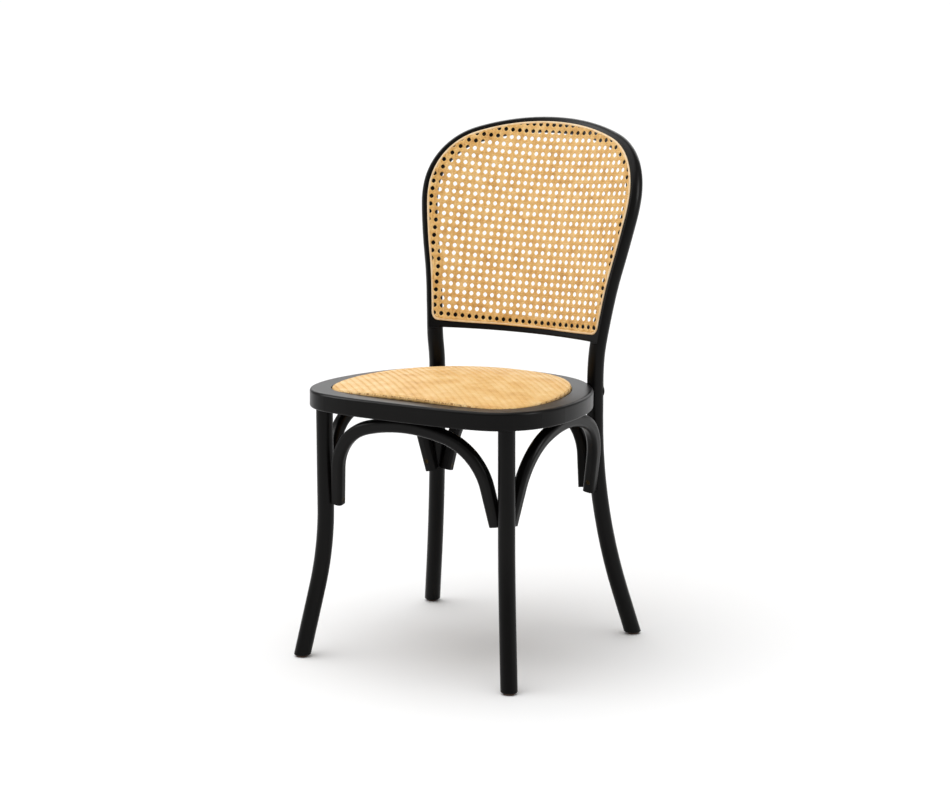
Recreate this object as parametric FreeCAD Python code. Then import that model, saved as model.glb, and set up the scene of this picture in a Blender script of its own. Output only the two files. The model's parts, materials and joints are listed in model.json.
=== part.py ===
import FreeCAD, Part
import math
import os

from FreeCAD import Placement, Rotation, Vector

# Bentwood side chair with a cane back and an inset woven seat pad.
# Millimetres, +Z up, the chair faces -Y, origin on the floor under the middle of the chair.
os.makedirs("parts", exist_ok=True)

# Round bent stock
ROD_DIA = 28.0
FOOT_EDGE = 1.5

# Seat ring in plan, measured in from its widest line and back from its front edge
SEAT_FRONT_HEIGHT = 454.0
SEAT_TILT_DEG = 1.3
SEAT_HALF_WIDTH = 229.5
SEAT_FRONT_Y = -255.4
SEAT_DEPTH = 414.0
RING_BOW_X = 100.0
RING_BOW_BACK = 2.5
RING_BOW_DEG = 5.0
RING_CORNER_IN = 37.5
RING_CORNER_BACK = 34.0
RING_WIDE_BACK = 143.0
RING_NOTCH = 1.0
RING_THICKNESS = 30.0
RING_TOP_EDGE = 5.0
RING_BOTTOM_EDGE = 3.0
BAND_WIDTH = 35.5
LEDGE_WIDTH = 76.0
REBATE_DEPTH = 16.0

# Rear uprights, in one piece with the back hoop; drops are below the seat's front height
UPRIGHT_IN = 71.0
UPRIGHT_AHEAD = 44.5
UPRIGHT_TOP_DROP = 8.0
REAR_BEND_DROP = 68.0
REAR_BEND_BOTTOM = 79.0
REAR_SPLAY_DEG = 17.6
REAR_HEADING_DEG = 48.6

# Front legs
FRONT_LEG_IN = 53.5
FRONT_LEG_BACK = 50.0
FRONT_BEND_DROP = 199.0
FRONT_BEND_BOTTOM = 117.0
FRONT_SPLAY_DEG = 13.9
FRONT_HEADING_DEG = -53.9
TENON_DIA = 20.0
TENON_LENGTH = 13.0

# Floor glides
GLIDE_DIA = 20.0
GLIDE_THICKNESS = 3.0
GLIDE_NAIL_DIA = 2.5
GLIDE_NAIL_LENGTH = 16.0

# Saddle shaped face of the back: hollow across, bowed rearwards going up
BACK_FOOT_RISE = 79.0
BACK_FOOT_BEHIND = 21.0
BACK_LEAN_DEG = 11.9
BACK_BOW_RADIUS = 1950.0
BACK_HOLLOW_RADIUS = 500.0

# Line of the hoop on that face: spreads are outside the uprights, S runs up from the face's foot
HOOP_RAIL_SPREAD = 4.5
HOOP_RAIL_S = -20.0
HOOP_RAIL_FLARE = 0.11
HOOP_LOW_SPREAD = 12.6
HOOP_LOW_S = 43.0
HOOP_LOW_FLARE = 0.135
HOOP_MID_SPREAD = 35.7
HOOP_MID_DROP = 59.0
HOOP_MID_FLARE = 0.19
HOOP_WIDE_SPREAD = 43.5
HOOP_WIDE_S = 217.0
HOOP_SHOULDER_RADIUS = 114.0
HOOP_CROWN_RISE = 133.0
HOOP_FACE_DEPTH = 11.0

# Back rail
RAIL_GAP = 60.5
RAIL_HEIGHT = 27.0
RAIL_THICKNESS = 20.0
RAIL_EDGE = 3.0
DOWEL_DIA = 6.0
DOWEL_LENGTH = 30.0
DOWEL_PITCH = 12.0
DOWEL_DEPTH = 11.0

# Cane sheet, an open net, and the reed that locks it in its groove
CANE_THICKNESS = 1.2
CANE_PITCH_ACROSS = 19.5
CANE_PITCH_UP = 19.8
CANE_HOLE = 12.0
CANE_RIM = 3.0
REED_DIA = 4.2
REED_OUTSET = 0.9
REED_SINK = 0.6
REED_FOOT_S = -6.0
REED_CORNER_S = -9.0
REED_CORNER_RADIUS = 11.0

# Drop-in seat pad
PAD_GAP = 1.0
BOARD_THICKNESS = 9.0
PAD_EDGE_HEIGHT = 5.0
PAD_CROWN = 15.0
COVER_THICKNESS = 2.0
BOARD_SCREW_INSET = 54.0

# Arch braces
ARCH_RADIAL = 22.0
ARCH_DEPTH = 20.0
ARCH_EDGE = 7.0
ARCH_END_DROP = 192.0
ARCH_SPRING_DROP = 88.0
ARCH_END_DEG = 8.9
ARCH_LEAN_DEG = 10.6
ARCH_INSET = 4.4
ARCH_CORNER_RADIUS = 96.0
ARCH_FLAT = 0.6
ARCH_COPE = 0.4
SIDE_SCREW_RISE = 18.0
CROSS_SCREW_RISE = 9.0

# Fasteners
SCREW_DIA = 4.0
SCREW_HEAD_DIA = 8.0
SCREW_HEAD = 2.5
SCREW_SINK = 0.5
LEG_SCREW_LENGTH = 38.0
SEAT_SCREW_LENGTH = 29.0
BOARD_SCREW_LENGTH = 20.0
BOLT_DIA = 6.0
BOLT_LENGTH = 44.0
BOLT_HEAD_DIA = 11.0
BOLT_HEAD = 4.0
BOLT_SINK = 7.0
INSERT_DIA = 10.0
INSERT_LENGTH = 14.0
CAP_DIA = 16.0
CAP_RISE = 1.5
CLEARANCE = 0.2

FAR = 900.0
SLACK = 0.05
SIDES = (1, -1)
UP = Vector(0, 0, 1)

rod_radius = ROD_DIA / 2
upright_x = SEAT_HALF_WIDTH - UPRIGHT_IN
upright_y = SEAT_FRONT_Y + SEAT_DEPTH - UPRIGHT_AHEAD
front_leg_x = SEAT_HALF_WIDTH - FRONT_LEG_IN
front_leg_y = SEAT_FRONT_Y + FRONT_LEG_BACK
rear_bend_top = SEAT_FRONT_HEIGHT - REAR_BEND_DROP
front_bend_top = SEAT_FRONT_HEIGHT - FRONT_BEND_DROP
rail_bottom = SEAT_FRONT_HEIGHT + RAIL_GAP
back_foot_y = upright_y + BACK_FOOT_BEHIND
back_foot_z = SEAT_FRONT_HEIGHT + BACK_FOOT_RISE
hoop_rail_u = upright_x + HOOP_RAIL_SPREAD
hoop_low_u = upright_x + HOOP_LOW_SPREAD
hoop_mid_u = upright_x + HOOP_MID_SPREAD
hoop_wide_u = upright_x + HOOP_WIDE_SPREAD
hoop_mid_s = HOOP_WIDE_S - HOOP_MID_DROP
hoop_top_s = HOOP_WIDE_S + HOOP_CROWN_RISE


def save(shape, node):
    """Write one sub-part as its own file."""
    shape.exportStep("parts/" + node + ".step")


def mirror_point(point):
    """The same point on the other side of the chair's middle plane."""
    return Vector(-point.x, point.y, point.z)


def pair(shape):
    """A piece and its copy on the other side."""
    return [shape, shape.mirror(Vector(0, 0, 0), Vector(1, 0, 0))]


def heading(degrees):
    """Level unit vector, turned from +X towards +Y."""
    return Vector(math.cos(math.radians(degrees)), math.sin(math.radians(degrees)), 0)


def edges_at(shape, z):
    """Edges of a shape that lie wholly at one height."""
    return [edge for edge in shape.Edges
            if abs(edge.BoundBox.ZMin - z) < SLACK and abs(edge.BoundBox.ZMax - z) < SLACK]


def bar(start, axis, diameter, length):
    """A plain round bar from a point along an axis."""
    return Part.makeCylinder(diameter / 2, length, start, axis)


# Paths: stations of a point and a direction, joined by pairs of tangent arcs
def tangent_arc(start, direction, end):
    """The arc that leaves start along direction and reaches end."""
    chord = end - start
    along = chord.dot(direction)
    across = chord - direction * along
    if across.Length < 1e-6 * chord.Length:
        return Part.LineSegment(start, end).toShape()
    side = across.normalize()
    radius = chord.Length ** 2 / (2 * chord.dot(side))
    centre = start + side * radius
    middle = (start + end) * 0.5 - centre
    if along < 0:
        middle = -middle
    middle.normalize()
    return Part.Arc(start, centre + middle * abs(radius), end).toShape()


def arc_pair(start, start_dir, end, end_dir):
    """One or two arcs that join two stations without a corner."""
    chord = end - start
    turned_alike = abs((start_dir - end_dir).dot(chord)) < 1e-6 * chord.Length
    one_plane = abs(start_dir.cross(end_dir).dot(chord)) < 1e-6 * chord.Length
    if turned_alike and one_plane:
        return [tangent_arc(start, start_dir, end)]
    both = start_dir + end_dir
    square = both.dot(both) - 4
    if abs(square) < 1e-9:
        reach = chord.dot(chord) / (2 * chord.dot(both))
    else:
        root = math.sqrt(chord.dot(both) ** 2 - square * chord.dot(chord))
        reach = (chord.dot(both) - root) / square
    joint = (start + start_dir * reach + end - end_dir * reach) * 0.5
    first = tangent_arc(start, start_dir, joint)
    second = tangent_arc(end, -end_dir, joint)
    return [first, second]


def path_edges(stations):
    """Edges through a list of (point, direction) stations."""
    edges = []
    for (start, start_dir), (end, end_dir) in zip(stations, stations[1:]):
        edges += arc_pair(start, start_dir, end, end_dir)
    return edges


def both_sides(stations):
    """Stations from the middle plane's right side carried on over the left side."""
    left = [(mirror_point(point), -mirror_point(way)) for point, way in reversed(stations)]
    if abs(stations[-1][0].x) < 1e-6:
        left = left[1:]
    return stations + left


def closed_wire(stations):
    """A closed outline from stations that start and end on the middle plane."""
    return Part.Wire(Part.__sortEdges__(path_edges(both_sides(stations))))


def sweep(stations, profile):
    """Carry a closed profile along the stations."""
    wire = Part.Wire(Part.__sortEdges__(path_edges(stations)))
    return wire.makePipeShell([profile], True, False)


def round_profile(station, diameter):
    """Circle square to a station."""
    point, direction = station
    return Part.Wire([Part.makeCircle(diameter / 2, point, direction)])


# The saddle face of the back
lean = math.radians(BACK_LEAN_DEG)
bow_axis_y = back_foot_y + BACK_BOW_RADIUS * math.cos(lean)
bow_axis_z = back_foot_z - BACK_BOW_RADIUS * math.sin(lean)


def back_point(u, s, behind=0.0):
    """A point of the back: u across, s up, and a distance behind the face."""
    across = u / BACK_HOLLOW_RADIUS
    upwards = lean + s / BACK_BOW_RADIUS
    x = (BACK_HOLLOW_RADIUS + behind) * math.sin(across)
    forward = BACK_HOLLOW_RADIUS - (BACK_HOLLOW_RADIUS + behind) * math.cos(across)
    arm = BACK_BOW_RADIUS + forward
    return Vector(x, bow_axis_y - arm * math.cos(upwards), bow_axis_z + arm * math.sin(upwards))


def back_station(u, s, du, ds, behind=0.0):
    """A station of the back that heads along (du, ds)."""
    step = 0.01 / math.hypot(du, ds)
    ahead = back_point(u + du * step, s + ds * step, behind)
    before = back_point(u - du * step, s - ds * step, behind)
    return back_point(u, s, behind), (ahead - before).normalize()


def in_front_of(behind):
    """Everything in front of the saddle face moved back by a distance."""
    tube = Part.makeTorus(BACK_BOW_RADIUS + BACK_HOLLOW_RADIUS, BACK_HOLLOW_RADIUS + behind,
                          Vector(0, bow_axis_y, bow_axis_z), Vector(1, 0, 0))
    return tube


def back_layer(front, back):
    """The layer of space between two depths of the saddle face."""
    return in_front_of(back).cut(in_front_of(front))


def hoop_line(outset=0.0):
    """Face stations (u, s, du, ds) of the right half of the hoop, from the rail to the top."""
    line = []
    for u, s, flare in ((hoop_rail_u, HOOP_RAIL_S, HOOP_RAIL_FLARE),
                        (hoop_low_u, HOOP_LOW_S, HOOP_LOW_FLARE),
                        (hoop_mid_u, hoop_mid_s, HOOP_MID_FLARE),
                        (hoop_wide_u, HOOP_WIDE_S, 0.0)):
        size = math.hypot(1, flare)
        line.append((u + outset / size, s - outset * flare / size, flare, 1.0))
    shoulder_u = hoop_wide_u - HOOP_SHOULDER_RADIUS
    gain = HOOP_CROWN_RISE - HOOP_SHOULDER_RADIUS
    crown_radius = HOOP_SHOULDER_RADIUS + (shoulder_u ** 2 + gain ** 2) / (2 * gain)
    crown_s = hoop_top_s - crown_radius
    meet = math.atan2(HOOP_WIDE_S - crown_s, shoulder_u)
    for part in (0.33, 0.67, 1.0):
        turn = meet * part
        reach = HOOP_SHOULDER_RADIUS + outset
        line.append((shoulder_u + reach * math.cos(turn), HOOP_WIDE_S + reach * math.sin(turn),
                     -math.sin(turn), math.cos(turn)))
    for part in (0.5, 1.0):
        turn = meet + (math.pi / 2 - meet) * part
        reach = crown_radius + outset
        line.append((reach * math.cos(turn), crown_s + reach * math.sin(turn),
                     -math.sin(turn), math.cos(turn)))
    return line


def hoop_stations(outset, behind):
    """Stations of the right half of a line that follows the hoop."""
    return [back_station(*place, behind) for place in hoop_line(outset)]


# Bent legs: straight on top, one long bend, straight to the floor
def leg_stations(x, y, top, bend_top, bend_bottom, splay, splay_heading):
    """Stations from below the floor up to the straight top."""
    turn = math.radians(splay)
    radius = (bend_top - bend_bottom) / math.sin(turn)
    outwards = heading(splay_heading)
    down = outwards * math.sin(turn) - UP * math.cos(turn)
    knee = Vector(x, y, bend_bottom) + outwards * (radius * (1 - math.cos(turn)))
    below = (bend_bottom + ROD_DIA) / math.cos(turn)
    return [(knee + down * below, -down), (knee, -down),
            (Vector(x, y, bend_top), UP), (Vector(x, y, top), UP)]


rear_leg = leg_stations(upright_x, upright_y, SEAT_FRONT_HEIGHT - UPRIGHT_TOP_DROP, rear_bend_top, REAR_BEND_BOTTOM,
                        REAR_SPLAY_DEG, REAR_HEADING_DEG)


def front_leg_stations(top):
    """Stations of the right front leg."""
    return leg_stations(front_leg_x, front_leg_y, top, front_bend_top, FRONT_BEND_BOTTOM,
                        FRONT_SPLAY_DEG, FRONT_HEADING_DEG)


def foot_point(stations):
    """Where the middle of a leg meets the floor."""
    start, way = stations[0]
    return start - way * (start.z / way.z)


front_foot = foot_point(front_leg_stations(front_bend_top + ROD_DIA))
rear_foot = foot_point(rear_leg)
feet = [front_foot, mirror_point(front_foot), rear_foot, mirror_point(rear_foot)]
below_feet = Part.makeBox(2 * FAR, 2 * FAR, FAR, Vector(-FAR, -FAR, GLIDE_THICKNESS - FAR))


def glide(foot):
    """Round glide with its nail."""
    disc = bar(Vector(foot.x, foot.y, 0), UP, GLIDE_DIA, GLIDE_THICKNESS)
    disc = disc.makeFillet(GLIDE_THICKNESS / 3, [disc.Edges[2]])
    nail = bar(Vector(foot.x, foot.y, GLIDE_THICKNESS), UP, GLIDE_NAIL_DIA, GLIDE_NAIL_LENGTH)
    return disc.fuse(nail).removeSplitter()


glides = [glide(foot) for foot in feet]


def trimmed_foot(leg):
    """Cut a leg level above its glide and break its lower edge."""
    leg = leg.cut(below_feet)
    return leg.makeChamfer(FOOT_EDGE, edges_at(leg, GLIDE_THICKNESS))


# Seat ring in plan, then tipped with everything that lies in it
ring_top = SEAT_FRONT_HEIGHT
ring_bottom = ring_top - RING_THICKNESS
ledge_top = ring_top - REBATE_DEPTH
board_top = ledge_top + BOARD_THICKNESS
upright_heading = heading(45)
ring_touch = Vector(upright_x, upright_y, 0) - upright_heading * (rod_radius - RING_NOTCH)
ring_corner_x = SEAT_HALF_WIDTH - RING_CORNER_IN
ring_places = (
    (Vector(0, SEAT_FRONT_Y, 0), 0),
    (Vector(RING_BOW_X, SEAT_FRONT_Y + RING_BOW_BACK, 0), RING_BOW_DEG),
    (Vector(ring_corner_x, SEAT_FRONT_Y + RING_CORNER_BACK, 0), 45),
    (Vector(SEAT_HALF_WIDTH, SEAT_FRONT_Y + RING_WIDE_BACK, 0), 90),
    (ring_touch, 135),
    (Vector(0, SEAT_FRONT_Y + SEAT_DEPTH, 0), 180),
)


def ring_outline(inset, z):
    """Outline of the ring, drawn in by an inset."""
    stations = []
    for point, turned in ring_places:
        inward = heading(turned + 90)
        stations.append((point + inward * inset + UP * z, heading(turned)))
    return closed_wire(stations)


def plan_slab(inset, bottom, top):
    """Slab of the ring's outline between two heights."""
    return Part.Face(ring_outline(inset, bottom)).extrude(UP * (top - bottom))


seat_pivot = Vector(0, SEAT_FRONT_Y, SEAT_FRONT_HEIGHT)
seat_place = Placement(Vector(0, 0, 0), Rotation(Vector(1, 0, 0), -SEAT_TILT_DEG), seat_pivot)
seat_up = seat_place.Rotation.multVec(UP)


def tipped(shape):
    """Tip a shape drawn in the level seat to its real place."""
    moved = shape.copy()
    moved.Placement = seat_place.multiply(shape.Placement)
    return moved


def underside(x, y):
    """Height of the ring's underside above a point of the floor."""
    base = seat_place.multVec(Vector(0, SEAT_FRONT_Y, ring_bottom))
    reach = seat_up.x * (x - base.x) + seat_up.y * (y - base.y)
    return base.z - reach / seat_up.z


seat_space = tipped(Part.makeBox(2 * FAR, 2 * FAR, FAR, Vector(-FAR, -FAR, ring_bottom)))


# Screws, bolts and the holes that they need
def screw(face_point, way, length):
    """Wood screw whose head is sunk below a face."""
    way = Vector(way).normalize()
    head_start = face_point + way * SCREW_SINK
    head = bar(head_start, way, SCREW_HEAD_DIA, SCREW_HEAD)
    return head.fuse(bar(head_start, way, SCREW_DIA, length)).removeSplitter()


def screw_hole(face_point, way, length):
    """Recess for the head and a free hole for the shank."""
    way = Vector(way).normalize()
    recess = bar(face_point - way * SCREW_HEAD_DIA, way, SCREW_HEAD_DIA + 2 * CLEARANCE,
                 SCREW_HEAD_DIA + SCREW_SINK + SCREW_HEAD)
    return recess.fuse(bar(face_point, way, SCREW_DIA + 2 * CLEARANCE, length + 2 * SCREW_SINK))


# Front legs
def front_leg():
    """Right front leg with the tenon that stands in the seat ring."""
    stations = front_leg_stations(SEAT_FRONT_HEIGHT)
    leg = sweep(stations, round_profile(stations[0], ROD_DIA)).cut(seat_space)
    return trimmed_foot(leg.fuse(front_tenon).removeSplitter())


tenon_base = underside(front_leg_x, front_leg_y)
front_tenon = bar(Vector(front_leg_x, front_leg_y, tenon_base - TENON_LENGTH), UP,
                  TENON_DIA, 2 * TENON_LENGTH)


# Hoop with both rear legs
def hoop_rod():
    """Both rear legs and the hoop as one round bent rod."""
    stations = both_sides(rear_leg + hoop_stations(0.0, HOOP_FACE_DEPTH))
    return sweep(stations, round_profile(stations[0], ROD_DIA))


def above(z):
    """Everything above a height."""
    return Part.makeBox(2 * FAR, 2 * FAR, FAR, Vector(-FAR, -FAR, z))


# Reed: round stock that follows the hoop and closes along the rail
def reed_stations():
    """Stations of the right half of the reed, from the rail's middle round to the hoop's top."""
    low_s = REED_CORNER_S + REED_CORNER_RADIUS
    part = (low_s - HOOP_RAIL_S) / (HOOP_LOW_S - HOOP_RAIL_S)
    low_u = hoop_rail_u + part * (hoop_low_u - hoop_rail_u) + REED_OUTSET
    places = [(0, REED_FOOT_S, 1, 0),
              (low_u - REED_CORNER_RADIUS, REED_CORNER_S, 1, 0),
              (low_u, low_s, HOOP_RAIL_FLARE, 1)]
    places += hoop_line(REED_OUTSET)[1:]
    return [back_station(*place, REED_SINK) for place in places]


def reed():
    """The reed as one closed ring."""
    stations = reed_stations()
    ring = sweep(both_sides(stations), round_profile(stations[0], REED_DIA))
    return Part.Solid(ring.Shells[0]) if not ring.Solids else ring


def cane_edge():
    """The reed's line seen square from the front, as a flat outline at y = 0."""
    flat = []
    for point, way in reed_stations():
        level = Vector(way.x, 0, way.z).normalize()
        flat.append((Vector(point.x, 0, point.z), level))
    return closed_wire(flat)


def rearwards(outline):
    """Solid column from a flat outline towards the back."""
    return Part.Face(outline).extrude(Vector(0, FAR, 0))


def cane_holes(edge):
    """Columns that cut the net's square holes, in rows and columns clear of its edge."""
    area = Part.Face(edge)
    half = CANE_HOLE / 2
    corners = [Vector(a * half, 0, b * half) for a, b in ((-1, -1), (1, -1), (1, 1), (-1, 1))]
    columns = int(edge.BoundBox.XMax / CANE_PITCH_ACROSS)
    rows = int((edge.BoundBox.ZMax - back_foot_z) / CANE_PITCH_UP)
    holes = []
    for row in range(rows + 1):
        for column in range(-columns, columns + 1):
            middle = Vector(column * CANE_PITCH_ACROSS, 0, back_foot_z + row * CANE_PITCH_UP)
            reach = edge.distToShape(Part.Vertex(middle))[0]
            if area.isInside(middle, SLACK, False) and reach > CANE_HOLE * math.sqrt(0.5) + CANE_RIM:
                hole = Part.makePolygon([middle + corner for corner in corners + corners[:1]])
                holes.append(rearwards(hole))
    return holes


def cane_sheet(reed_ring):
    """Thin holed net that lies on the saddle face and ends under the reed."""
    edge = cane_edge()
    sheet = back_layer(-CANE_THICKNESS, 0).common(rearwards(edge))
    return sheet.cut(reed_ring).cut(cane_holes(edge))


def rail_blank():
    """Curved rail with softened long edges, still running into the uprights."""
    block = Part.makeBox(2 * upright_x, FAR, RAIL_HEIGHT, Vector(-upright_x, 0, rail_bottom))
    rail = block.common(back_layer(0, RAIL_THICKNESS))
    long_edges = [edge for edge in rail.Edges if edge.BoundBox.XLength > upright_x]
    return rail.makeFillet(RAIL_EDGE, long_edges)


def rail_dowels():
    """Two dowels at each end of the rail."""
    dowels = []
    middle = rail_bottom + RAIL_HEIGHT / 2 - back_foot_z
    for offset in (-DOWEL_PITCH / 2, DOWEL_PITCH / 2):
        mouth, outwards = back_station(hoop_rail_u - rod_radius, middle + offset, 1, 0,
                                       RAIL_THICKNESS / 2)
        start = mouth - outwards * (DOWEL_LENGTH - DOWEL_DEPTH)
        dowels.append(bar(start, outwards, DOWEL_DIA, DOWEL_LENGTH))
        dowels.append(bar(mirror_point(start), mirror_point(outwards), DOWEL_DIA, DOWEL_LENGTH))
    return dowels


# Seat ring and pad
def ring_blank():
    """Ring with rounded edges, the rebate for the pad and the opening under it."""
    ring = plan_slab(0, ring_bottom, ring_top)
    ring = ring.makeFillet(RING_TOP_EDGE, edges_at(ring, ring_top))
    ring = ring.makeFillet(RING_BOTTOM_EDGE, edges_at(ring, ring_bottom))
    ring = ring.cut(plan_slab(BAND_WIDTH, ledge_top, ring_top + RING_THICKNESS))
    return tipped(ring.cut(plan_slab(LEDGE_WIDTH, ring_bottom - RING_THICKNESS, ring_top)))


pad_inset = BAND_WIDTH + PAD_GAP
pad_middle_y = SEAT_FRONT_Y + SEAT_DEPTH / 2
pad_half_width = SEAT_HALF_WIDTH - pad_inset
crown_rise = PAD_CROWN - PAD_EDGE_HEIGHT
crown_radius = (pad_half_width ** 2 + crown_rise ** 2) / (2 * crown_rise)


def crowned(inset, bottom, drop):
    """Pad shape with a domed top, drawn in by an inset and lowered by a drop."""
    top = ring_top + PAD_CROWN - drop
    dome = Part.makeSphere(crown_radius, Vector(0, pad_middle_y, top - crown_radius))
    pad = plan_slab(inset, bottom, top + PAD_CROWN).common(dome)
    rim = [edge for edge in pad.Edges if edge.BoundBox.ZMin > bottom + SLACK]
    return pad.makeFillet(PAD_EDGE_HEIGHT - drop, rim)


def seat_board():
    """Plywood board of the pad, lying on the ledge."""
    return tipped(plan_slab(pad_inset + COVER_THICKNESS, ledge_top, board_top))


def seat_foam():
    """Crowned foam on the board."""
    return tipped(crowned(pad_inset + COVER_THICKNESS, board_top, COVER_THICKNESS))


def seat_cover():
    """Woven skin over the foam and down the board's edge."""
    inner = crowned(pad_inset + COVER_THICKNESS, ledge_top, COVER_THICKNESS)
    return tipped(crowned(pad_inset, ledge_top, 0).cut(inner))


def board_screw_places():
    """Face points of the screws that hold the board, from below the ledge."""
    places = []
    for point, turned in (ring_places[2], ring_places[4]):
        place = point + heading(turned + 90) * BOARD_SCREW_INSET + UP * ring_bottom
        places += [seat_place.multVec(place), seat_place.multVec(mirror_point(place))]
    return places


# Arch braces
def rear_axis(z):
    """Middle of the right rear leg at a height within its bend."""
    radius = (rear_bend_top - REAR_BEND_BOTTOM) / math.sin(math.radians(REAR_SPLAY_DEG))
    drop = rear_bend_top - z
    offset = radius - math.sqrt(radius ** 2 - drop ** 2)
    return Vector(upright_x, upright_y, 0) + heading(REAR_HEADING_DEG) * offset


arch_end_z = SEAT_FRONT_HEIGHT - ARCH_END_DROP
seat_z = arch_end_z + SIDE_SCREW_RISE
end_turn = math.radians(ARCH_END_DEG)
front_right = Vector(front_leg_x, front_leg_y, 0)
rear_right = rear_axis(seat_z)
arch_legs = {
    "arch_front": (mirror_point(front_right), front_right),
    "arch_right": (front_right, rear_right),
    "arch_left": (mirror_point(rear_right), mirror_point(front_right)),
    "arch_rear": (rear_right, mirror_point(rear_right)),
}
screw_rises = {"arch_front": CROSS_SCREW_RISE, "arch_rear": CROSS_SCREW_RISE,
               "arch_right": SIDE_SCREW_RISE, "arch_left": SIDE_SCREW_RISE}


def arch_frame(node):
    """Lower middle, span direction, way up the leaning plane and half span on the axis."""
    first, second = arch_legs[node]
    span = (second - first).normalize()
    outward = span.cross(UP)
    middle = (first + second) * 0.5 - outward * ARCH_INSET
    rise_way = UP + outward * math.tan(math.radians(ARCH_LEAN_DEG))
    half = (second - first).Length / 2 - rod_radius + ARCH_COPE - ARCH_RADIAL / 2
    return middle, span, rise_way, half


def arch_place(node, x, z):
    """Point of a brace's plane: x along the span, z above the floor."""
    middle, span, rise_way = arch_frame(node)[:3]
    return middle + span * x + rise_way * (z - arch_end_z) + UP * arch_end_z


def arch_top(node):
    """Height of the axis at the brace's middle, just under the ring."""
    point = arch_place(node, 0, SEAT_FRONT_HEIGHT - RING_THICKNESS)
    return underside(point.x, point.y) + ARCH_FLAT - ARCH_RADIAL / 2


def arch_profile(centre, radial, depth):
    """Rounded rectangle, the section of a brace."""
    edges = []
    long_way = ARCH_RADIAL / 2 - ARCH_EDGE
    deep_way = ARCH_DEPTH / 2 - ARCH_EDGE
    slant = ARCH_EDGE * math.sqrt(0.5)
    corners = ((1, 1), (-1, 1), (-1, -1), (1, -1))
    ends = []
    for a, b in corners:
        core = centre + radial * (a * long_way) + depth * (b * deep_way)
        on_radial = core + radial * (a * ARCH_EDGE)
        on_depth = core + depth * (b * ARCH_EDGE)
        between = core + radial * (a * slant) + depth * (b * slant)
        first, last = (on_radial, on_depth) if a == b else (on_depth, on_radial)
        edges.append(Part.Arc(first, between, last).toShape())
        ends.append((first, last))
    for (_, start), (end, _) in zip(ends, ends[1:] + ends[:1]):
        edges.append(Part.LineSegment(start, end).toShape())
    return Part.Wire(Part.__sortEdges__(edges))


def arch(node):
    """One brace: two slanting ends, two round shoulders and a long top arc."""
    span, rise_way, half = arch_frame(node)[1:]
    top = arch_top(node)
    spring_z = top - ARCH_SPRING_DROP
    spring_x = half - (spring_z - seat_z) * math.tan(end_turn)
    end_x = half + (seat_z - arch_end_z) * math.tan(end_turn)
    corner_x = spring_x - ARCH_CORNER_RADIUS * math.cos(end_turn)
    corner_z = spring_z - ARCH_CORNER_RADIUS * math.sin(end_turn)
    rise = top - corner_z
    gain = rise - ARCH_CORNER_RADIUS
    top_radius = ARCH_CORNER_RADIUS + (corner_x ** 2 + gain ** 2) / (2 * gain)
    turn = math.atan2(top_radius - rise, corner_x)
    stations = [(0, top, 1, 0),
                (corner_x + ARCH_CORNER_RADIUS * math.cos(turn),
                 corner_z + ARCH_CORNER_RADIUS * math.sin(turn),
                 math.sin(turn), -math.cos(turn)),
                (spring_x, spring_z, math.sin(end_turn), -math.cos(end_turn)),
                (end_x, arch_end_z, math.sin(end_turn), -math.cos(end_turn))]
    path = [(arch_place(node, -x, z), (span * dx - rise_way * dz).normalize())
            for x, z, dx, dz in stations[:0:-1]]
    path += [(arch_place(node, x, z), (span * dx + rise_way * dz).normalize())
             for x, z, dx, dz in stations]
    depth = span.cross(rise_way).normalize()
    start, way = path[0]
    profile = arch_profile(start, way.cross(depth), depth)
    return sweep(path, profile).cut(seat_space)


def arch_screw_places(node):
    """Face points and directions of the two end screws and the top screw of a brace."""
    span, rise_way, half = arch_frame(node)[1:]
    screw_z = arch_end_z + screw_rises[node]
    reach = half + (seat_z - screw_z) * math.tan(end_turn)
    ends = []
    for side in SIDES:
        way = (span * (side * math.cos(end_turn)) + rise_way * math.sin(end_turn)).normalize()
        ends.append((arch_place(node, side * reach, screw_z) - way * (ARCH_RADIAL / 2), way))
    top_face = arch_place(node, 0, arch_top(node)) - UP * (ARCH_RADIAL / 2)
    return ends, (top_face, UP)


# Bolts that hold the uprights to the ring
bolt_axis = -upright_heading
bolt_z = underside(upright_x, upright_y) + RING_THICKNESS / 2
bolt_face = Vector(upright_x, upright_y, bolt_z) + upright_heading * rod_radius


def bolt_parts():
    """Right bolt and insert, and the holes for them."""
    seat = bolt_face + bolt_axis * BOLT_SINK
    bolt = bar(seat - bolt_axis * BOLT_HEAD, bolt_axis, BOLT_HEAD_DIA, BOLT_HEAD)
    bolt = bolt.fuse(bar(seat, bolt_axis, BOLT_DIA, BOLT_LENGTH)).removeSplitter()
    insert_start = seat + bolt_axis * (BOLT_LENGTH - INSERT_LENGTH)
    insert = bar(insert_start, bolt_axis, INSERT_DIA, INSERT_LENGTH)
    insert = insert.cut(bar(insert_start, bolt_axis, BOLT_DIA, INSERT_LENGTH))
    recess_dia = BOLT_HEAD_DIA + 2 * CLEARANCE
    free = bar(seat, bolt_axis, BOLT_DIA + 2 * CLEARANCE, BOLT_LENGTH)
    recess = bar(bolt_face - bolt_axis * CAP_DIA, bolt_axis, recess_dia, CAP_DIA + BOLT_SINK)
    insert_hole = bar(insert_start, bolt_axis, INSERT_DIA, INSERT_LENGTH)
    return bolt, insert, recess.fuse(free), insert_hole


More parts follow.
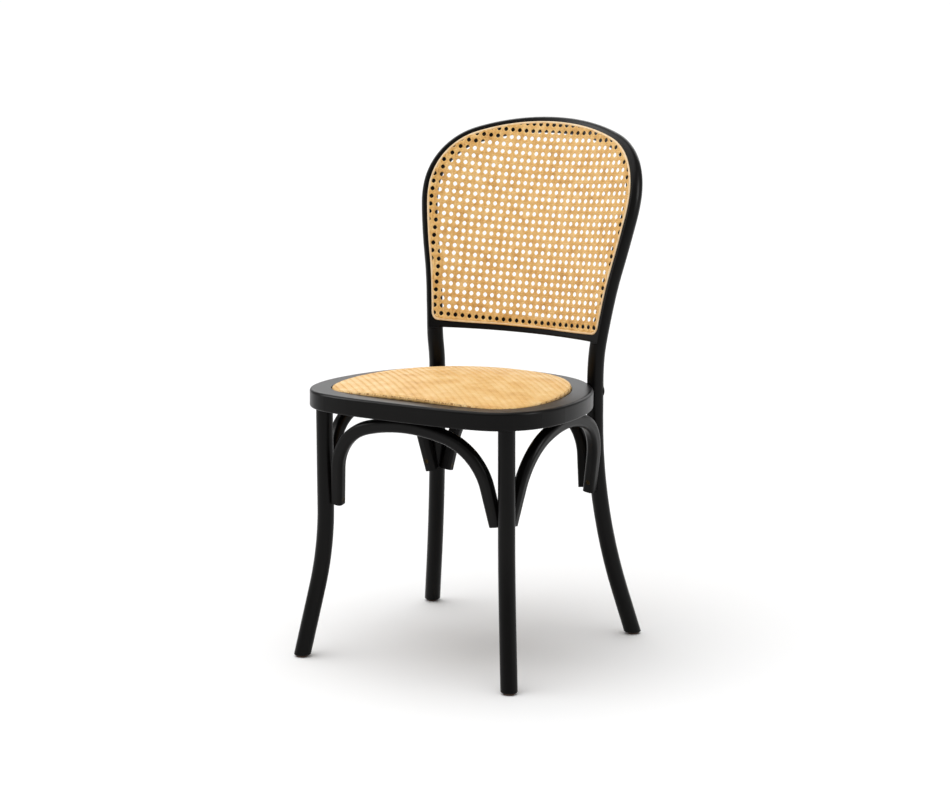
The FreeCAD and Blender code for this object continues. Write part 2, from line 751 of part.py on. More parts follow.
def bolt_cap():
    """Domed cap with a peg that fills the recess above the bolt head."""
    outward = bolt_axis.cross(UP)
    peg_end = BOLT_SINK - BOLT_HEAD
    spots = ((0, -CAP_RISE), (CAP_DIA / 2, 0), (CAP_DIA / 2, CAP_RISE),
             (BOLT_HEAD_DIA / 2, CAP_RISE), (BOLT_HEAD_DIA / 2, peg_end), (0, peg_end))
    points = [bolt_face + outward * out + bolt_axis * along for out, along in spots]
    edges = [tangent_arc(points[0], outward, points[1])]
    for start, end in zip(points[1:], points[2:] + points[:1]):
        edges.append(Part.LineSegment(start, end).toShape())
    return Part.Face(Part.Wire(edges)).revolve(bolt_face, bolt_axis, 360)


# Assembly: each piece is cut where another one seats in it
rod = hoop_rod()
reed_ring = reed()
dowels = rail_dowels()
bolt, insert, bolt_hole, insert_hole = bolt_parts()
caps = pair(bolt_cap())
front_legs = pair(front_leg())

arch_nodes = list(arch_legs)
arches = {node: arch(node) for node in arch_nodes}
leg_screws = []
arch_screw_holes = []
seat_screws = []
for node in arch_nodes:
    end_places, top_place = arch_screw_places(node)
    for place, way in end_places:
        leg_screws.append(screw(place, way, LEG_SCREW_LENGTH))
        arch_screw_holes.append(screw_hole(place, way, LEG_SCREW_LENGTH))
    seat_screws.append(screw(top_place[0], top_place[1], SEAT_SCREW_LENGTH))
    arch_screw_holes.append(screw_hole(top_place[0], top_place[1], SEAT_SCREW_LENGTH))
board_places = board_screw_places()
board_screws = [screw(place, seat_up, BOARD_SCREW_LENGTH) for place in board_places]
board_holes = [screw_hole(place, seat_up, RING_THICKNESS - REBATE_DEPTH) for place in board_places]

hoop = rod.cut(in_front_of(0).common(above(rail_bottom)))
hoop = hoop.cut([reed_ring] + dowels + leg_screws + pair(bolt_hole) + caps)
hoop = trimmed_foot(hoop.cut(glides))
save(hoop, "back_hoop")

rail = rail_blank().cut([rod, reed_ring] + dowels)
save(rail, "back_rail")
save(Part.makeCompound(dowels), "rail_dowels")
save(reed_ring, "cane_reed")
save(cane_sheet(reed_ring), "cane_panel")

for node, leg in zip(("front_leg_right", "front_leg_left"), front_legs):
    save(leg.cut(glides + leg_screws), node)
save(Part.makeCompound(glides), "floor_glides")

ring = ring_blank().cut(pair(front_tenon) + [rod] + pair(bolt_hole) + pair(insert_hole))
ring = ring.cut(seat_screws + board_holes)
save(ring, "seat_ring")
save(seat_board().cut(board_screws), "seat_board")
save(seat_foam(), "seat_foam")
save(seat_cover(), "seat_cover")
save(Part.makeCompound(board_screws), "board_screws")

for node in arch_nodes:
    save(arches[node].cut(front_legs + [rod] + arch_screw_holes), node)
save(Part.makeCompound(leg_screws), "arch_leg_screws")
save(Part.makeCompound(seat_screws), "arch_seat_screws")
save(Part.makeCompound(pair(bolt)), "seat_bolts")
save(Part.makeCompound(pair(insert)), "bolt_inserts")
save(Part.makeCompound(caps), "bolt_caps")
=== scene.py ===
# %% [markdown]
# A bentwood chair in four materials.
# The real chair is steam-bent beech under satin black lacquer, with a machine-woven cane back, a
# reed glued round the cane and a seat pad wrapped in woven rattan. Its wooden pieces, screws and
# glides come ready made as the frame. This lesson gives them their finishes, and weaves the cane
# and the rattan strand by strand, because a picture of a weave has no depth from the side.

# %% Load the frame
import bmesh
import bpy
import json
import math
from mathutils import Euler, Matrix, Vector

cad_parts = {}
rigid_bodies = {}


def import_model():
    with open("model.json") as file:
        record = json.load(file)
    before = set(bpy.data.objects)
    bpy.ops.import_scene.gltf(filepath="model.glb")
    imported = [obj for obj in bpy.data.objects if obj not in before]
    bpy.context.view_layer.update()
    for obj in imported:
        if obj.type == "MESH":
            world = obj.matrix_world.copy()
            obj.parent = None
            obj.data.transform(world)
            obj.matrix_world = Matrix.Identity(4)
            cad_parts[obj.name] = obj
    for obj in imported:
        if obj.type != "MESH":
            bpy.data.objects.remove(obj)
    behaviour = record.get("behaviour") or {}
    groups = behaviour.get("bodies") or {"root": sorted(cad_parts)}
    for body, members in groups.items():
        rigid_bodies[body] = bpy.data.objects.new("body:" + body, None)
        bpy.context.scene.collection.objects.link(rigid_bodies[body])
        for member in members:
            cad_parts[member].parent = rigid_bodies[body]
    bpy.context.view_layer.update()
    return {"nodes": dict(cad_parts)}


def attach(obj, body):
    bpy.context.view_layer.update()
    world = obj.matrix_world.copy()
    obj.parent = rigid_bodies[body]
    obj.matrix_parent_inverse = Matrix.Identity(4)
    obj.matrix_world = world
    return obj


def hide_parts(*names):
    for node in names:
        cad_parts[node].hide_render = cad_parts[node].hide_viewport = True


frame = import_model()
nodes = frame["nodes"]
MM = 0.001

# %% [markdown]
# A studio photographer stands far off with a long lens, so the legs hardly converge. The camera
# is given by the turn round the chair, the height above it and the distance to a point near
# the seat. Its small roll is a turn about its own axis.

# %% Camera
CAMERA_TURN = 31.79
CAMERA_RISE = 11.084
CAMERA_ROLL = -0.13
CAMERA_DISTANCE = 4273.1 * MM
CAMERA_TARGET = Vector((0.5, -17.1, 412.4)) * MM
FOCAL_LENGTH = 96.29
turn = math.radians(CAMERA_TURN)
rise = math.radians(CAMERA_RISE)
outwards = Vector((math.sin(turn) * math.cos(rise), -math.cos(turn) * math.cos(rise), math.sin(rise)))
camera = bpy.data.objects.new("camera", bpy.data.cameras.new("camera"))
bpy.context.scene.collection.objects.link(camera)
camera.data.sensor_width = 36
camera.data.lens = FOCAL_LENGTH
camera.location = CAMERA_TARGET + outwards * CAMERA_DISTANCE
aim = Euler((math.pi / 2 - rise, 0, turn)).to_matrix() @ Matrix.Rotation(math.radians(CAMERA_ROLL), 3, "Z")
camera.rotation_euler = aim.to_euler()
bpy.context.scene.camera = camera
print("camera at", [round(value, 3) for value in camera.location])

# %% [markdown]
# The picture has a white floor with soft grey shadows under the feet. One very wide overhead sun
# lights the floor evenly as far as it reaches, so there is no horizon line in the picture. Three
# softboxes draw the long highlights on the wood. They show only as reflections and add no light
# of their own to matt surfaces. The plain view transform keeps whites white.

# %% Floor and lights
FLOOR_HALF_WIDTH = 40


def add_object(name, data):
    """Puts new data into the scene at the origin."""
    made = bpy.data.objects.new(name, data)
    bpy.context.scene.collection.objects.link(made)
    return made


floor_mesh = bmesh.new()
bmesh.ops.create_grid(floor_mesh, x_segments=1, y_segments=1, size=FLOOR_HALF_WIDTH)
floor_data = bpy.data.meshes.new("floor")
floor_mesh.to_mesh(floor_data)
floor_mesh.free()
floor = add_object("floor", floor_data)


def add_lamp(name, kind, place, power):
    """A lamp that looks at the seat."""
    lamp = add_object(name, bpy.data.lights.new(name, kind))
    lamp.data.energy = power
    lamp.location = place
    lamp.rotation_euler = (CAMERA_TARGET - lamp.location).to_track_quat("-Z", "Y").to_euler()
    return lamp


def add_softbox(name, place, power, width, height):
    """A softbox that shows only in reflections."""
    lamp = add_lamp(name, "AREA", place, power)
    lamp.data.shape = "RECTANGLE"
    lamp.data.size = width
    lamp.data.size_y = height
    lamp.visible_diffuse = False


overhead = add_lamp("overhead", "SUN", Vector((-0.6, -0.5, 4.0)), power=2.35)
overhead.data.angle = math.radians(70)
add_softbox("softbox_left", Vector((-2.6, -1.6, 2.2)), power=72, width=1.0, height=1.8)
add_softbox("softbox_right", Vector((3.0, 0.4, 1.8)), power=45, width=1.0, height=1.6)
add_softbox("softbox_rear", Vector((-1.6, 3.2, 2.2)), power=66, width=5.0, height=2.0)
bpy.context.scene.view_settings.view_transform = "Standard"
print("lights:", len(bpy.data.lights))

# %% [markdown]
# Every colour below is written as the hex value that a paint shop or a picture program would
# give. Shaders work in linear light, so one function turns hex into linear numbers, and one
# function adds a node, sets it and links it.

# %% Colour and node helpers
def linear(code, alpha=1.0):
    """An sRGB hex colour such as #1c1b1a as linear RGBA."""
    parts = [int(code[place:place + 2], 16) / 255 for place in (1, 3, 5)]
    return [p / 12.92 if p <= 0.04045 else ((p + 0.055) / 1.055) ** 2.4 for p in parts] + [alpha]


def add_node(tree, kind, settings=None, values=None, links=None):
    """Adds a node, sets its options and input values, and links outputs of others to its inputs."""
    node = tree.nodes.new(kind)
    for name, value in (settings or {}).items():
        setattr(node, name, value)
    for name, value in (values or {}).items():
        node.inputs[name].default_value = value
    for name, output in (links or {}).items():
        tree.links.new(output, node.inputs[name])
    return node


def new_material(name):
    """An empty material with its shader, ready for nodes."""
    material = bpy.data.materials.new(name)
    material.use_nodes = True
    return material, material.node_tree, material.node_tree.nodes["Principled BSDF"]


def set_ramp(node, stops):
    """Gives a colour ramp its stops as (place, hex colour)."""
    ramp = node.color_ramp
    while len(ramp.elements) < len(stops):
        ramp.elements.new(1.0)
    for element, (place, code) in zip(ramp.elements, stops):
        element.position = place
        element.color = linear(code)


# %% [markdown]
# The floor is plain matt white paper, and the room round it is evenly white.

# %% Floor finish
paper, tree, shader = new_material("matt_white_paper")
shader.inputs["Base Color"].default_value = linear("#f7f7f7")
shader.inputs["Roughness"].default_value = 0.9
floor_data.materials.append(paper)

world = bpy.data.worlds.new("white_studio")
bpy.context.scene.world = world
world.use_nodes = True
room = world.node_tree.nodes["Background"]
room.inputs["Color"].default_value = linear("#ffffff")
room.inputs["Strength"].default_value = 0.42
print("floor and world are set")

# %% [markdown]
# Steam-bent beech is sanded, stained black and sprayed with a satin lacquer. The lacquer fills
# most of the pores, so only a faint grain shows as fine lengthwise lines, and the colour is a
# very dark warm grey and never pure black. The lacquer is satin, so its highlights are wide.

# %% Lacquered beech
BEECH_GRAIN = 1.2 * MM
STAIN_CLOUD = 111 * MM
lacquer, tree, shader = new_material("satin_black_lacquer_on_beech")
place = add_node(tree, "ShaderNodeTexCoord").outputs["Object"]
stretch = add_node(tree, "ShaderNodeMapping", values={"Scale": (1, 1, 0.08)}, links={"Vector": place})
grain = add_node(tree, "ShaderNodeTexNoise", values={"Scale": 1 / BEECH_GRAIN, "Detail": 3.0},
                 links={"Vector": stretch.outputs["Vector"]})
cloud = add_node(tree, "ShaderNodeTexNoise", values={"Scale": 1 / STAIN_CLOUD, "Detail": 3.0},
                 links={"Vector": place})
shade = add_node(tree, "ShaderNodeValToRGB", links={"Fac": cloud.outputs["Fac"]})
set_ramp(shade, [(0.3, "#070606"), (0.7, "#0c0b0a")])
tree.links.new(shade.outputs["Color"], shader.inputs["Base Color"])
shader.inputs["Roughness"].default_value = 0.32
shader.inputs["Specular IOR Level"].default_value = 0.12
bump = add_node(tree, "ShaderNodeBump", values={"Strength": 0.12, "Distance": 0.2 * MM},
                links={"Height": grain.outputs["Fac"]})
tree.links.new(bump.outputs["Normal"], shader.inputs["Normal"])
WOODEN = ("back_hoop", "back_rail", "front_leg_left", "front_leg_right", "seat_ring",
          "arch_front", "arch_left", "arch_right", "arch_rear")


def finish_node(node, made):
    """Gives a piece of the frame one material on all its faces."""
    mesh = nodes[node].data
    for slot in range(max(1, len(mesh.materials))):
        if slot < len(mesh.materials):
            mesh.materials[slot] = made
        else:
            mesh.materials.append(made)


for node in WOODEN:
    finish_node(node, lacquer)
print("lacquered:", len(WOODEN), "pieces")

# %% [markdown]
# The cane lies on a saddle: hollow across, so that a back fits in it, and bowed rearwards going
# up. Its place on that face is counted across (u) and up (s) from the foot of the panel, and
# a height out from the wood, so the weave can be laid out flat and bent in one step.

# %% The saddle face of the back
HOLLOW_RADIUS = 500 * MM
BOW_RADIUS = 1950 * MM
BACK_LEAN = math.radians(11.9)
BACK_FOOT = Vector((0, 135.1, 533.0)) * MM
bow_y = BACK_FOOT.y + BOW_RADIUS * math.cos(BACK_LEAN)
bow_z = BACK_FOOT.z - BOW_RADIUS * math.sin(BACK_LEAN)


def on_back(u, s, out):
    """The point of the back at u across, s up and out in front of the wood."""
    across = u / HOLLOW_RADIUS
    upwards = BACK_LEAN + s / BOW_RADIUS
    forward = HOLLOW_RADIUS - (HOLLOW_RADIUS - out) * math.cos(across)
    arm = BOW_RADIUS + forward
    return Vector(((HOLLOW_RADIUS - out) * math.sin(across),
                   bow_y - arm * math.cos(upwards), bow_z + arm * math.sin(upwards)))


def flat_place(point):
    """The (u, s) of a point near the back."""
    arm = math.hypot(point.y - bow_y, point.z - bow_z)
    upwards = math.atan2(point.z - bow_z, bow_y - point.y)
    across = math.atan2(point.x, HOLLOW_RADIUS - (arm - BOW_RADIUS))
    return Vector((across * HOLLOW_RADIUS, (upwards - BACK_LEAN) * BOW_RADIUS))


print("top of the panel:", [round(value, 3) for value in on_back(0, 340 * MM, 0)])

# %% [markdown]
# Both weaves end at a closed edge: the cane under the reed, the rattan at the rim of the pad.
# The edge is read from the frame. Round a middle point, the plane is cut into narrow sectors.
# In each sector the cane ends halfway between the nearest and farthest point of the reed, and
# the rattan ends at the farthest point of the cover.

# %% Edges read from the frame
SECTORS = 180
SAMPLE = 2 * MM


def sector_of(arm):
    """The sector that an arm from the middle points into."""
    return int(math.atan2(arm.y, arm.x) / math.tau % 1 * SECTORS)


def read_edge(node, flatten, middle, pick):
    """Closed outline of a flattened piece: in each sector, pick chooses one of its lengths."""
    lengths = [[] for sector in range(SECTORS)]
    mesh = nodes[node].data
    flat = [flatten(vertex.co) - middle for vertex in mesh.vertices]
    for edge in mesh.edges:
        first, second = (flat[corner] for corner in edge.vertices)
        samples = max(1, math.ceil((second - first).length / SAMPLE))
        for sample in range(samples):
            arm = first.lerp(second, sample / samples)
            lengths[sector_of(arm)].append(arm.length)
    edge = []
    for sector, found in enumerate(lengths):
        angle = (sector + 0.5) / SECTORS * math.tau
        edge.append(middle + Vector((math.cos(angle), math.sin(angle))) * pick(found))
    return edge


CANE_MIDDLE = Vector((0, 170)) * MM
cane_edge = read_edge("cane_reed", flat_place, CANE_MIDDLE,
                      lambda found: (min(found) + max(found)) / 2)
print("cane edge:", len(cane_edge), "corners, up to", round(max(p.y for p in cane_edge), 4), "m")

# %% [markdown]
# A strand is a long thin strip, so it starts as a grid with many steps along and one or two across.
# Each step is then put in its place: along the strand, to one side, and up or down where it
# crosses another strand. The middle of a strip is raised a little, because split cane is round
# on its shiny side. Its own map gives each strand a lane, one map step from the next.

# %% One strand
def crossings(edge, along, offset):
    """Where a line enters and leaves the edge, measured along it."""
    side = Vector((-along.y, along.x))
    found = []
    for first, second in zip(edge, edge[1:] + edge[:1]):
        before, after = first.dot(side) - offset, second.dot(side) - offset
        if (before < 0) != (after < 0):
            found.append(first.lerp(second, before / (before - after)).dot(along))
    return (min(found), max(found)) if len(found) > 1 else None


MAP_STEP = 20 * MM


def lay_strand(mesh, stops, put, half_width, crown, number, steps_across=2):
    """Lays one strip: put(stop, sideways, lift) gives the place of each of its points."""
    made = bmesh.ops.create_grid(mesh, x_segments=len(stops) - 1, y_segments=steps_across, size=0.5)
    uv = mesh.loops.layers.uv.verify()
    faces = set()
    where = {}
    for vertex in made["verts"]:
        stop = stops[round((vertex.co.x + 0.5) * (len(stops) - 1))]
        sideways = vertex.co.y * 2
        where[vertex] = (stop, sideways * half_width + number * MAP_STEP)
        vertex.co = put(stop, sideways * half_width, crown * (1 - sideways ** 2))
        faces.update(vertex.link_faces)
    for face in faces:
        face.smooth = True
        for corner in face.loops:
            corner[uv].uv = where[corner.vert]


def stops_between(low, high, step, phase, ends):
    """Stops along a strand: both ends, a few close to them, and every step in between."""
    stops = {low, high}
    for distance in ends:
        stops.update((low + distance, high - distance))
    count = math.ceil((low + ends[-1] - phase) / step)
    while phase + count * step < high - ends[-1]:
        stops.add(phase + count * step)
        count += 1
    return sorted(stops)


# %% [markdown]
# Chair cane of this open kind has six strands to a hole: a pair upright, a pair level and two
# slanting ones. The pairs part round each hole, and the slanting strands cut its corners off, so
# square holes look round from a step away. The upright strands of a pair go over and under the
# level ones in turn. One slanting strand goes over the level pairs and under the upright ones,
# and the other does the opposite. A web is seldom pulled quite square: the upright strands of
# this one lean a little. Strands are counted past the edge on all sides, and those that miss it
# are left out.

# %% Woven cane
CANE_PITCH_ACROSS = 12.97 * MM
CANE_PITCH_UP = 13.27 * MM
PAIR_HALF_GAP = 1.45 * MM
PAIR_HALF_WIDTH = 1.45 * MM
SLANT_HALF_WIDTH = 1.2 * MM
CANE_DEPTH = 0.5 * MM
CANE_CROWN = 0.25 * MM
WEAVE_LIFT = 0.6 * MM
WEAVE_OUT = 1.1 * MM
TUCK = 3.0 * MM
WEB_SLOPE = 0.032
WEB_FOOT = Vector((4.5, 1.1)) * MM
COLUMNS = range(-17, 18)
ROWS = range(-2, 28)
SLANTS = range(-46, 47)


def web_to_back(place):
    """The (u, s) on the back of a place counted in the web's own rows and columns."""
    return Vector((place.x - WEB_SLOPE * place.y, place.y)) + WEB_FOOT


def back_to_web(place):
    """The opposite of web_to_back."""
    place = place - WEB_FOOT
    return Vector((place.x + WEB_SLOPE * place.y, place.y))


web_edge = [back_to_web(corner) for corner in cane_edge]


def cane_strand(mesh, number, along, offset, half_width, wave, step, phase):
    """Lays one strand from edge to edge, its ends tucked under the reed, and counts it."""
    ends = crossings(web_edge, along, offset)
    if not ends or ends[1] - ends[0] < 4 * TUCK:
        return 0
    side = Vector((-along.y, along.x))

    def put(stop, sideways, lift):
        place = web_to_back(along * stop + side * (offset + sideways))
        tuck = min(1, (stop - ends[0]) / TUCK, (ends[1] - stop) / TUCK)
        return on_back(place.x, place.y, (WEAVE_OUT + wave(stop) + lift) * max(0, tuck))

    stops = stops_between(*ends, step, phase, (TUCK / 2, TUCK))
    lay_strand(mesh, stops, put, half_width, CANE_CROWN, number)
    return 1


weave = bmesh.new()
count = 0
for column in COLUMNS:
    middle = (column + 0.5) * CANE_PITCH_ACROSS
    for hand in (-1, 1):
        def upright_wave(stop, hand=hand):
            return WEAVE_LIFT * hand * math.sin(math.pi * stop / CANE_PITCH_UP)
        count += cane_strand(weave, count, Vector((0, 1)), -middle + hand * PAIR_HALF_GAP,
                             PAIR_HALF_WIDTH, upright_wave, CANE_PITCH_UP / 2, 0)
for row in ROWS:
    middle = (row + 0.5) * CANE_PITCH_UP
    for hand in (-1, 1):
        count += cane_strand(weave, count, Vector((1, 0)), middle + hand * PAIR_HALF_GAP,
                             PAIR_HALF_WIDTH, lambda stop: 0, CANE_PITCH_ACROSS,
                             CANE_PITCH_ACROSS / 2)
print("upright and level strands:", count)

# %% [markdown]
# The slanting strands run from the middle of one level pair to the middle of the next upright
# pair. The pitch differs a little across and up, so their slope isn't quite 45 degrees.

# %% Slanting strands of the cane
diagonal = Vector((CANE_PITCH_ACROSS, CANE_PITCH_UP))
half_step = diagonal.length / 2
for hand in (1, -1):
    along = Vector((hand * diagonal.x, diagonal.y)).normalized()
    side = Vector((-along.y, along.x))
    for line in SLANTS:
        start = Vector((0, (line + 0.5) * CANE_PITCH_UP))
        phase = start.dot(along)

        def slant_wave(stop, hand=hand, phase=phase):
            return WEAVE_LIFT * hand * math.cos(math.pi * (stop - phase) / half_step)
        count += cane_strand(weave, count, along, start.dot(side), SLANT_HALF_WIDTH,
                             slant_wave, half_step, phase)
cane_data = bpy.data.meshes.new("woven_cane")
weave.to_mesh(cane_data)
weave.free()
woven_cane = add_object("woven_cane", cane_data)
depth = woven_cane.modifiers.new("strand depth", "SOLIDIFY")
depth.thickness = CANE_DEPTH
depth.offset = -1
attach(woven_cane, "root")
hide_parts("cane_panel")
print("cane:", count, "strands,", len(cane_data.polygons), "faces")

# %% [markdown]
# Cane is the split bark of the rattan palm. It is glossy straw yellow when new and darkens to
# amber in patches, and each strand has its own tone and fine fibres along it. The strand's own
# map runs along it in metres, so a noise stretched along that map gives fibres.

# %% Cane and reed finishes
FIBRE = 0.5 * MM


def palm_finish(name, tones, fibre_map, patch, roughness):
    """A finish for cane, reed or rattan: patches of tone, fibres along the strand, a soft gloss."""
    material, tree, shader = new_material(name)
    coordinates = add_node(tree, "ShaderNodeTexCoord")
    patches = add_node(tree, "ShaderNodeTexNoise",
                       values={"Scale": 1 / patch, "Detail": 4.0, "Roughness": 0.6},
                       links={"Vector": coordinates.outputs["Object"]})
    source = coordinates.outputs["UV" if fibre_map else "Object"]
    along = add_node(tree, "ShaderNodeMapping", values={"Scale": (0.05, 1, 1)}, links={"Vector": source})
    fibres = add_node(tree, "ShaderNodeTexNoise", values={"Scale": 1 / FIBRE, "Detail": 2.0},
                      links={"Vector": along.outputs["Vector"]})
    mixed = add_node(tree, "ShaderNodeMath", {"operation": "MULTIPLY_ADD"}, {1: 0.35},
                     {0: fibres.outputs["Fac"], 2: patches.outputs["Fac"]})
    tone = add_node(tree, "ShaderNodeValToRGB", links={"Fac": mixed.outputs[0]})
    set_ramp(tone, tones)
    tree.links.new(tone.outputs["Color"], shader.inputs["Base Color"])
    shader.inputs["Roughness"].default_value = roughness
    bump = add_node(tree, "ShaderNodeBump", values={"Strength": 0.3, "Distance": 0.1 * MM},
                    links={"Height": fibres.outputs["Fac"]})
    tree.links.new(bump.outputs["Normal"], shader.inputs["Normal"])
    return material


cane_bark = palm_finish("split_cane_bark", [(0.42, "#c89044"), (0.62, "#e7b461"), (0.85, "#f6cd86")],
                        fibre_map=True, patch=16 * MM, roughness=0.45)
cane_data.materials.append(cane_bark)
reed = palm_finish("round_rattan_reed", [(0.4, "#dcae74"), (0.6, "#f2cf9d"), (0.85, "#f8deb6")],
                   fibre_map=False, patch=12 * MM, roughness=0.5)
finish_node("cane_reed", reed)
print("cane and reed are finished")

# %% [markdown]
# The seat pad is a plywood board with foam under a woven rattan skin. It is a closed form with a
# low crown. Its sides pull in a little towards the board, and its rim is round where the skin
# turns down. The rim line in plan comes from the frame's own cover.

# %% Seat pad
SEAT_FRONT = Vector((0, -255.4, 454.0)) * MM
SEAT_TILT = math.radians(1.3)
PAD_MIDDLE = Vector((0, -48.4)) * MM
PAD_CROWN = 15 * MM
REBATE_DEPTH = 16 * MM
BOARD_THICKNESS = 9 * MM
BOARD_GAP = 2.2 * MM
CROWN_TOP = SEAT_FRONT.z + PAD_CROWN
CROWN_RADIUS = 1867 * MM
RIM_RADIUS = 5 * MM
SKIN = 0.8 * MM
LEDGE = SEAT_FRONT.z - REBATE_DEPTH
BOARD_TOP = LEDGE + BOARD_THICKNESS
to_front = Matrix.Translation(SEAT_FRONT)
seat_tip = to_front @ Matrix.Rotation(-SEAT_TILT, 4, "X") @ to_front.inverted()
level = seat_tip.inverted()
pad_edge = read_edge("seat_cover", lambda point: (level @ point).to_2d(), PAD_MIDDLE, max)


def rim_reach(arm):
    """How far the rim lies from the pad's middle in the direction of an arm."""
    turned = math.atan2(arm.y, arm.x) / math.tau % 1 * SECTORS - 0.5
    before = math.floor(turned)
    first = (pad_edge[before % SECTORS] - PAD_MIDDLE).length
    second = (pad_edge[(before + 1) % SECTORS] - PAD_MIDDLE).length
    return first + (second - first) * (turned - before)


def on_pad(place, out):
    """The point of the pad's top over a place of the plan; past the rim it runs down the side."""
    arm = place - PAD_MIDDLE
    reach = rim_reach(arm)
    inset = max(0, reach - arm.length)
    past = max(0, arm.length - reach)
    outward = max(0, 1 - inset / RIM_RADIUS)
    upward = math.sqrt(1 - outward ** 2)
    ray = arm.normalized()
    flat = PAD_MIDDLE + ray * (reach - inset + out * outward)
    crown = CROWN_TOP - (reach - inset) ** 2 / (2 * CROWN_RADIUS)
    height = crown - RIM_RADIUS * (1 - upward) - past + out * upward
    return seat_tip @ Vector((flat.x, flat.y, height))


print("pad edge:", len(pad_edge), "corners, half width", round(max(p.x for p in pad_edge), 4), "m")

# %% [markdown]
# The pad's body grows from a wide circle round its middle. The circle's corners move in to the
# board's line, and the open edge is extruded ring by ring: down the recess for the board, out
# under the skirt, up the side, round the rim and in over the crown, where the last ring is merged
# to one point.

# %% Body of the pad
SKIRT_INSET = SKIN + 0.6 * MM
WAIST_INSET = SKIN + 0.9 * MM
WAIST_RISE = 5 * MM
SHOULDER_RISE = 1 * MM
RIM_INSETS = (0, 0.3 * MM, 1.2 * MM, 2.6 * MM, RIM_RADIUS)
CROWN_RINGS = 9
body = bmesh.new()
round_middle = Matrix.Translation(PAD_MIDDLE.to_3d()) @ Matrix.Rotation(math.pi / SECTORS, 4, "Z")
circle = bmesh.ops.create_circle(body, cap_ends=True, segments=SECTORS, radius=1, matrix=round_middle)


def shape_ring(ring, place):
    """Moves each corner of a ring to place(the ray from the pad's middle towards it)."""
    for vertex in ring:
        vertex.co = place((vertex.co.to_2d() - PAD_MIDDLE).normalized())


def side_place(inset, height):
    """Places on the pad's side, an inset from the rim and at a height."""
    def place(ray):
        flat = PAD_MIDDLE + ray * (rim_reach(ray) - inset)
        return Vector((flat.x, flat.y, height))
    return place


def crown_place(part):
    """Places on the pad's top, at a part of the way from the middle to the rim."""
    return lambda ray: level @ on_pad(PAD_MIDDLE + ray * rim_reach(ray) * part, -SKIN)


def rim_place(inset):
    """Places on the pad's round rim, at an inset from its outermost line."""
    return lambda ray: level @ on_pad(PAD_MIDDLE + ray * (rim_reach(ray) - inset), -SKIN)


rings = [side_place(BOARD_GAP, LEDGE), side_place(SKIRT_INSET, LEDGE),
         side_place(WAIST_INSET, LEDGE + WAIST_RISE), side_place(SKIN, BOARD_TOP + SHOULDER_RISE)]
rings += [rim_place(inset) for inset in RIM_INSETS]
rings += [crown_place(part / (CROWN_RINGS + 1)) for part in range(CROWN_RINGS, 0, -1)]
shape_ring(circle["verts"], side_place(BOARD_GAP, BOARD_TOP))
open_edges = list(body.edges)
for place in rings:
    grown = bmesh.ops.extrude_edge_only(body, edges=open_edges)["geom"]
    open_edges = [part for part in grown if isinstance(part, bmesh.types.BMEdge)]
    shape_ring([part for part in grown if isinstance(part, bmesh.types.BMVert)], place)
last = [part for part in grown if isinstance(part, bmesh.types.BMVert)]
bmesh.ops.pointmerge(body, verts=last, merge_co=sum((v.co for v in last), Vector()) / len(last))
bmesh.ops.recalc_face_normals(body, faces=body.faces)
bmesh.ops.transform(body, matrix=seat_tip, verts=body.verts)
for face in body.faces:
    face.smooth = len(face.verts) < 5
pad_data = bpy.data.meshes.new("seat_pad")
body.to_mesh(pad_data)
body.free()
seat_pad = add_object("seat_pad", pad_data)
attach(seat_pad, "root")
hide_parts("seat_cover", "seat_foam")
print("pad body:", len(pad_data.polygons), "faces")

# %% [markdown]
# The skin is a two-by-two twill: each flat strand passes over two others and under two, one step
# further along in the next row, which draws slanting lines over the seat. Strands that reach the
# rim run on down the side into the gap.

# %% Woven rattan skin
RATTAN_STEP = 4.06 * MM
RATTAN_HALF_WIDTH = 1.88 * MM
RATTAN_LIFT = 0.26 * MM
RATTAN_DEPTH = 0.4 * MM
RATTAN_OUT = -0.42 * MM
SKIRT = 7 * MM
RIM_STOP = 1.5 * MM
LINES = range(-70, 71)
rattan = bmesh.new()
strands = 0
for along, over in ((Vector((0, 1)), 1), (Vector((1, 0)), -1)):
    side = Vector((-along.y, along.x))
    for line in LINES:
        offset = line * RATTAN_STEP
        ends = crossings(pad_edge, along, offset)
        if not ends:
            continue
        column = -line if over > 0 else line

        def put(stop, sideways, lift):
            turned = math.pi / 2 * (stop / RATTAN_STEP + column) + math.pi / 4
            wave = over * RATTAN_LIFT * math.sqrt(2) * math.sin(turned)
            return on_pad(along * stop + side * (offset + sideways), RATTAN_OUT + wave + lift)

        stops = stops_between(ends[0] - SKIRT, ends[1] + SKIRT, RATTAN_STEP, 0,
                              (SKIRT, SKIRT + RIM_STOP, SKIRT + RIM_RADIUS))
        lay_strand(rattan, stops, put, RATTAN_HALF_WIDTH, 0, strands, steps_across=1)
        strands += 1
rattan_data = bpy.data.meshes.new("woven_rattan")
rattan.to_mesh(rattan_data)
rattan.free()
woven_rattan = add_object("woven_rattan", rattan_data)
depth = woven_rattan.modifiers.new("strand depth", "SOLIDIFY")
depth.thickness = RATTAN_DEPTH
depth.offset = -1
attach(woven_rattan, "root")
rattan_core = palm_finish("split_rattan_core", [(0.4, "#daa458"), (0.6, "#edbe73"), (0.85, "#f8d394")],
                          fibre_map=True, patch=45 * MM, roughness=0.5)
rattan_data.materials.append(rattan_core)
backing = palm_finish("rattan_backing", [(0.4, "#a5713a"), (0.8, "#c08b4c")],
                      fibre_map=False, patch=20 * MM, roughness=0.8)
pad_data.materials.append(backing)
print("rattan:", strands, "strands,", len(rattan_data.polygons), "faces")

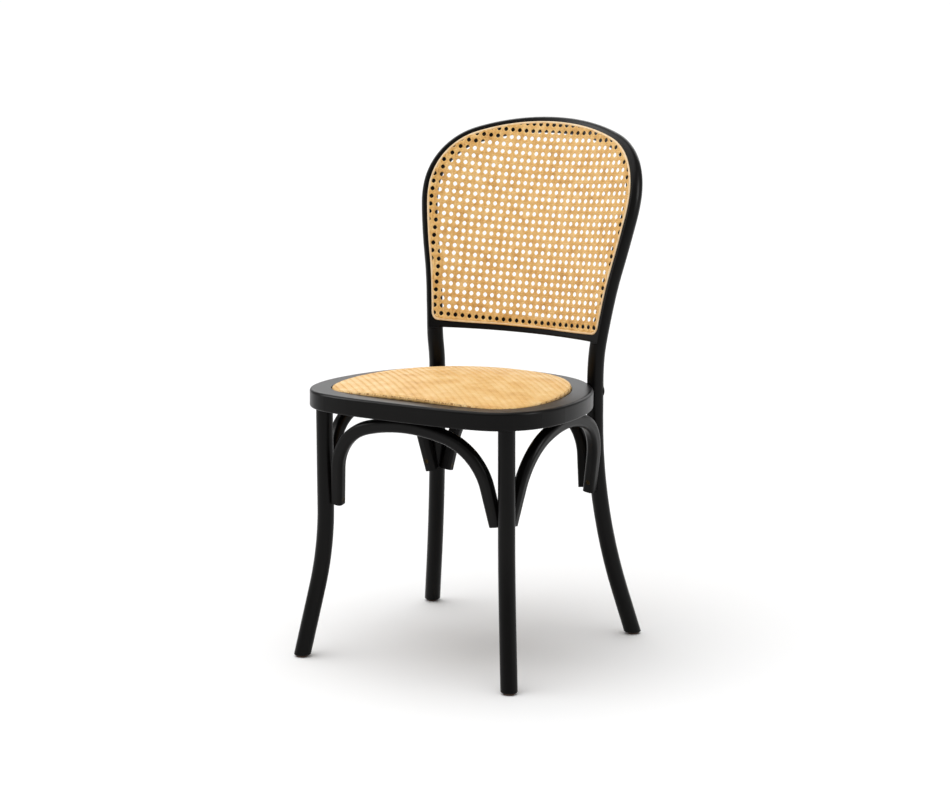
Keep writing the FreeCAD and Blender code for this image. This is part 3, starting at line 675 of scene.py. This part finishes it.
# %% [markdown]
# The small pieces keep the frame's shapes: plated screws and bolts, black plastic caps over the
# bolts, brown plastic glides under the feet, and bare plywood under the pad. The yellow zinc of
# the screws and inserts is painted nearly black, as painted shade of the holes they sit in.

# %% Finishes of the small pieces
def plain_finish(name, dark, light, size, roughness, metallic=0.0):
    """A finish with soft clouds of tone of one size."""
    material, tree, shader = new_material(name)
    place = add_node(tree, "ShaderNodeTexCoord").outputs["Object"]
    cloud = add_node(tree, "ShaderNodeTexNoise", values={"Scale": 1 / size, "Detail": 3.0},
                     links={"Vector": place})
    tone = add_node(tree, "ShaderNodeValToRGB", links={"Fac": cloud.outputs["Fac"]})
    set_ramp(tone, [(0.35, dark), (0.65, light)])
    tree.links.new(tone.outputs["Color"], shader.inputs["Base Color"])
    shader.inputs["Roughness"].default_value = roughness
    shader.inputs["Metallic"].default_value = metallic
    bump = add_node(tree, "ShaderNodeBump", values={"Strength": 0.2, "Distance": 0.05 * MM},
                    links={"Height": cloud.outputs["Fac"]})
    tree.links.new(bump.outputs["Normal"], shader.inputs["Normal"])
    return material


# The screws' yellow zinc is darkened nearly to black: painted shade of their countersunk holes.
yellow_zinc_with_painted_shade = plain_finish("yellow_zinc_darkened_as_painted_shade", "#241c10", "#3a2f1c", 2 * MM, 0.45, 1.0)
bright_zinc = plain_finish("bright_zinc_plated_steel", "#8d8d8f", "#b5b6b8", 2 * MM, 0.35, 1.0)
black_cap = plain_finish("moulded_black_polythene", "#171717", "#1f1f1f", 1 * MM, 0.5)
brown_glide = plain_finish("moulded_brown_polythene", "#4a2f1c", "#5b3b24", 1 * MM, 0.55)
plywood = plain_finish("raw_birch_plywood", "#b08a58", "#caa673", 6 * MM, 0.8)
dowel_beech = plain_finish("turned_beech_dowel", "#b8905f", "#c9a577", 2 * MM, 0.75)
for node, made in (("arch_leg_screws", yellow_zinc_with_painted_shade), ("arch_seat_screws", yellow_zinc_with_painted_shade),
                   ("board_screws", yellow_zinc_with_painted_shade), ("seat_bolts", bright_zinc),
                   ("bolt_inserts", yellow_zinc_with_painted_shade), ("bolt_caps", black_cap),
                   ("floor_glides", brown_glide), ("seat_board", plywood),
                   ("rail_dowels", dowel_beech)):
    finish_node(node, made)
print("small pieces are finished")
